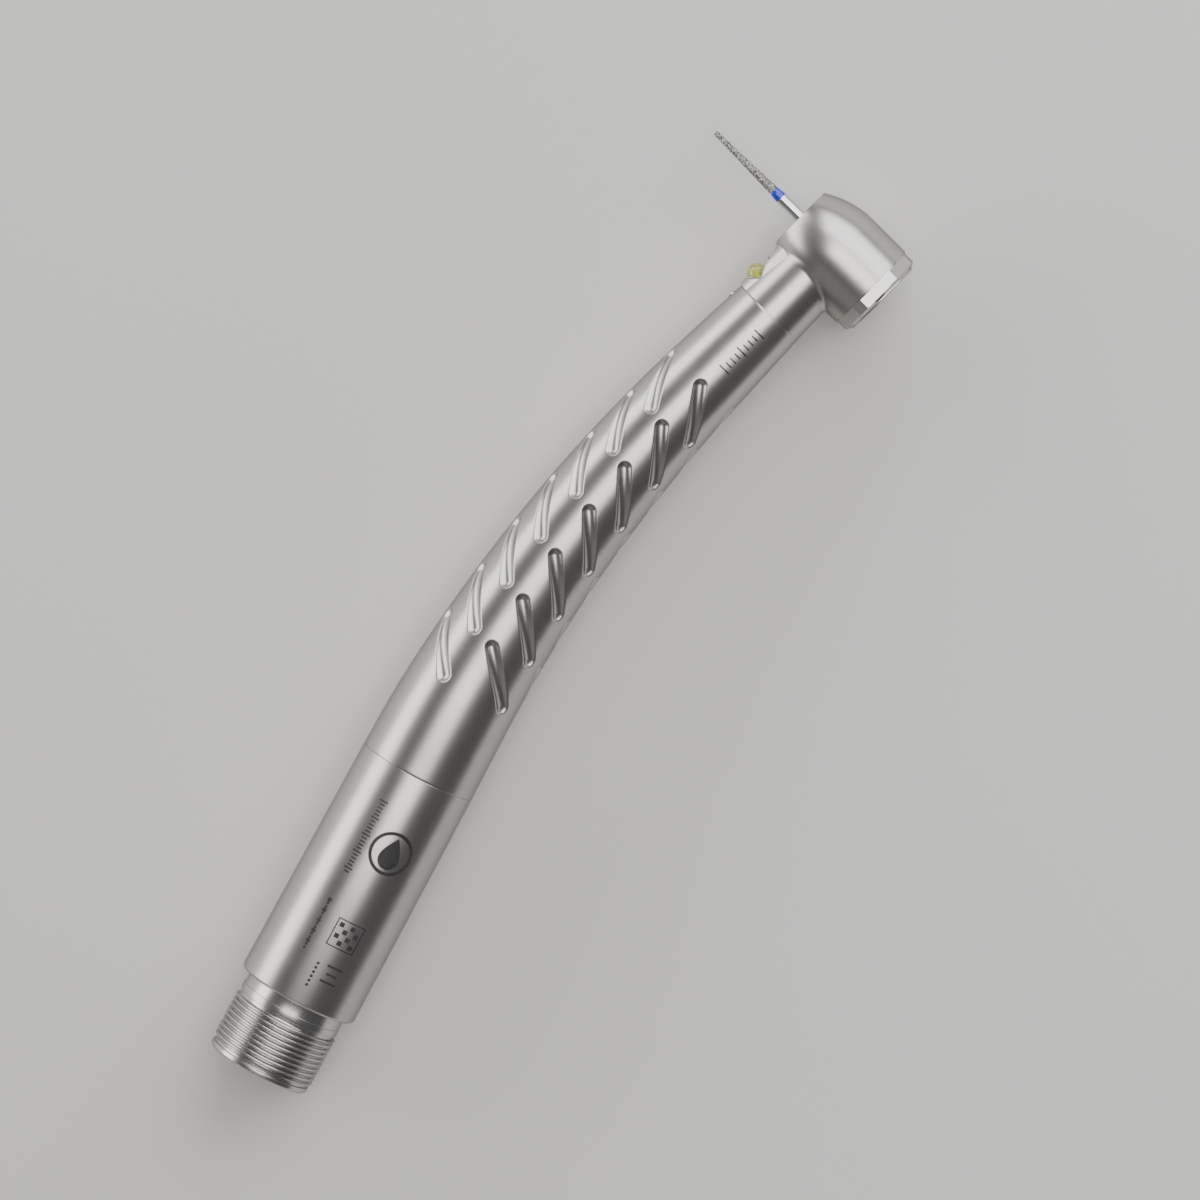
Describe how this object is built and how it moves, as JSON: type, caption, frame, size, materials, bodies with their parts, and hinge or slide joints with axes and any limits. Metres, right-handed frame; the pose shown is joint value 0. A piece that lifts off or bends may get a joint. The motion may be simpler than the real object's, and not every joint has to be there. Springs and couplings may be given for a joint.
{
  "type": "dental high speed handpiece",
  "caption": "Bent steel air-turbine handpiece with slanted grip flutes, push-button chuck head, light beside the bur, and a threaded hose coupling at the tail.",
  "frame": {"origin": "on the rear barrel axis, at the tail end of the hose thread", "axes": "+X along the rear barrel from the hose coupling to the head, +Y to the side the bur points to, +Z square to the plane of the bend; the handpiece lies on its side"},
  "size_m": [0.1333, 0.0328, 0.016],
  "materials": {
    "satin_steel": "satin, fine blasted",
    "machined_steel": "machined, semi-bright",
    "bright_steel": "ground and polished",
    "tube_steel": "drawn",
    "band_blue": "gloss enamel",
    "diamond_grit": "rough, electroplated diamond",
    "lens_yellow": "clear moulded",
    "led_phosphor": "phosphor",
    "ceramic_white": "ceramic",
    "seal_black": "matt",
    "gasket_grey": "silicone",
    "wire_black": "insulation",
    "cage_resin": "phenolic resin",
    "board_green": "circuit board",
    "chip_black": "moulded",
    "capacitor_sleeve": "sleeve",
    "nylon_natural": "moulded nylon",
    "bush_bronze": "sintered bronze",
    "copper_winding": "enamelled copper",
    "core_iron": "laminated iron",
    "magnet_nickel": "nickel plated",
    "impeller_alloy": "machined"
  },
  "bodies": {
    "root": {"grip_sleeve": "satin_steel", "rear_barrel": "satin_steel", "head_housing": "satin_steel", "end_cap": "machined_steel", "tail_connector": "machined_steel", "generator_housing": "machined_steel", "generator_end_plate": "machined_steel", "sleeve_lock_screw": "machined_steel", "button_spring": "bright_steel", "preload_washer": "bright_steel", "front_bearing_outer_race": "bright_steel", "front_bearing_shield": "bright_steel", "front_bearing_o_ring": "seal_black", "rear_bearing_outer_race": "bright_steel", "rear_bearing_shield": "bright_steel", "rear_bearing_o_ring": "seal_black", "drive_air_tube": "tube_steel", "water_tube": "tube_steel", "chip_air_tube": "tube_steel", "exhaust_spigot": "tube_steel", "drive_air_spigot": "tube_steel", "water_spigot": "tube_steel", "chip_air_spigot": "tube_steel", "spray_nozzle": "tube_steel", "led_lens": "lens_yellow", "led_chip": "led_phosphor", "led_base": "ceramic_white", "led_wires": "wire_black", "neck_o_ring": "seal_black", "middle_o_ring": "seal_black", "tail_o_ring": "seal_black", "non_return_valve": "seal_black", "hose_gasket": "gasket_grey", "rectifier_board": "board_green", "bridge_rectifier": "chip_black", "smoothing_capacitor": "capacitor_sleeve", "board_carrier": "nylon_natural", "front_tube_spacer": "nylon_natural", "rear_tube_spacer": "nylon_natural", "generator_bushes": "bush_bronze", "generator_coil": "copper_winding", "generator_core": "core_iron"},
    "rotor": {"spindle": "bright_steel", "impeller": "impeller_alloy", "chuck_collet": "bright_steel", "front_bearing_inner_race": "bright_steel", "rear_bearing_inner_race": "bright_steel"},
    "front_cage": {"front_bearing_cage": "cage_resin", "front_bearing_balls": "bright_steel"},
    "rear_cage": {"rear_bearing_cage": "cage_resin", "rear_bearing_balls": "bright_steel"},
    "push_button": {"push_button": "machined_steel"},
    "release_pin": {"chuck_release_pin": "machined_steel"},
    "bur": {"bur_shank": "bright_steel", "bur_colour_band": "band_blue", "bur_diamond_coat": "diamond_grit"},
    "generator_rotor": {"generator_shaft": "bright_steel", "generator_magnet": "magnet_nickel", "generator_air_wheel": "impeller_alloy"}
  },
  "joints": [
    {"name": "rotor_spin", "type": "hinge", "parent": "root", "child": "rotor", "pos_m": [0.12586, -0.01482, 0], "axis": [0.2823, 0.9593, 0], "continuous": true},
    {"name": "front_cage_spin", "type": "hinge", "parent": "root", "child": "front_cage", "pos_m": [0.12586, -0.01482, 0], "axis": [0.2823, 0.9593, 0], "continuous": true},
    {"name": "rear_cage_spin", "type": "hinge", "parent": "root", "child": "rear_cage", "pos_m": [0.12586, -0.01482, 0], "axis": [0.2823, 0.9593, 0], "continuous": true},
    {"name": "button_press", "type": "slide", "parent": "root", "child": "push_button", "axis": [0.2823, 0.9593, 0], "range_m": [0, 0.0008], "stiffness_N_per_m": 4000, "springref_m": -0.001, "deforming": ["button_spring"]},
    {"name": "release_pin_slide", "type": "slide", "parent": "rotor", "child": "release_pin", "axis": [0.2823, 0.9593, 0], "range_m": [0, 0.00048]},
    {"name": "bur_pull", "type": "slide", "parent": "rotor", "child": "bur", "axis": [0.2823, 0.9593, 0], "range_m": [0, 0.0105]},
    {"name": "generator_spin", "type": "hinge", "parent": "root", "child": "generator_rotor", "pos_m": [0.02, 0, -0.0028], "axis": [1, 0, 0], "continuous": true}
  ],
  "couplings": [
    {"joint": "front_cage_spin", "follows": "rotor_spin", "ratio": 0.395},
    {"joint": "rear_cage_spin", "follows": "rotor_spin", "ratio": 0.395},
    {"joint": "release_pin_slide", "follows": "button_press", "ratio": 0.6}
  ]
}
